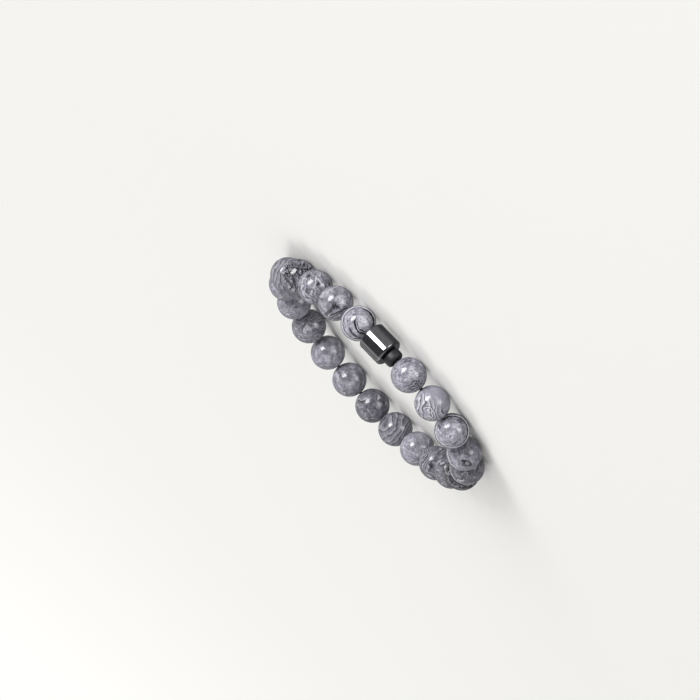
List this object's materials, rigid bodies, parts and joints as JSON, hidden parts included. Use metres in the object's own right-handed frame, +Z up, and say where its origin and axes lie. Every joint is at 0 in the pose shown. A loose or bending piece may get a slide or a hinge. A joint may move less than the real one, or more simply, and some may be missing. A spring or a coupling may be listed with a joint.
{
  "type": "beaded stone bracelet",
  "caption": "Stretch bracelet of round grey map stone beads with one dark barrel bead, laid on its side.",
  "frame": {"origin": "under the middle of the bracelet's box, on the surface that the beads lie on", "axes": "+Z up, along the wrist towards the hand; +X along the long way of the oval loop; -Y towards the front, where the barrel bead is"},
  "size_m": [0.0702, 0.059, 0.008],
  "materials": {
    "map_stone_pale": "polished",
    "map_stone_grey": "polished",
    "map_stone_dark": "polished",
    "polished_hematite": "polished",
    "matt_black_stone": "matte",
    "elastic": "satin"
  },
  "bodies": {
    "root": {"bead_01": "map_stone_pale", "bead_02": "map_stone_pale", "bead_03": "map_stone_grey", "bead_04": "map_stone_grey", "bead_05": "map_stone_pale", "bead_06": "map_stone_dark", "bead_07": "map_stone_grey", "bead_08": "map_stone_grey", "bead_09": "map_stone_pale", "bead_10": "map_stone_grey", "bead_11": "map_stone_dark", "bead_12": "map_stone_grey", "bead_13": "map_stone_pale", "bead_14": "map_stone_grey", "bead_15": "map_stone_dark", "bead_16": "map_stone_dark", "bead_17": "map_stone_dark", "bead_18": "map_stone_dark", "bead_19": "map_stone_pale", "bead_20": "map_stone_pale", "bead_21": "map_stone_grey", "barrel_bead": "polished_hematite", "spacer_bead": "matt_black_stone", "elastic_thread": "elastic"}
  },
  "joints": []
}
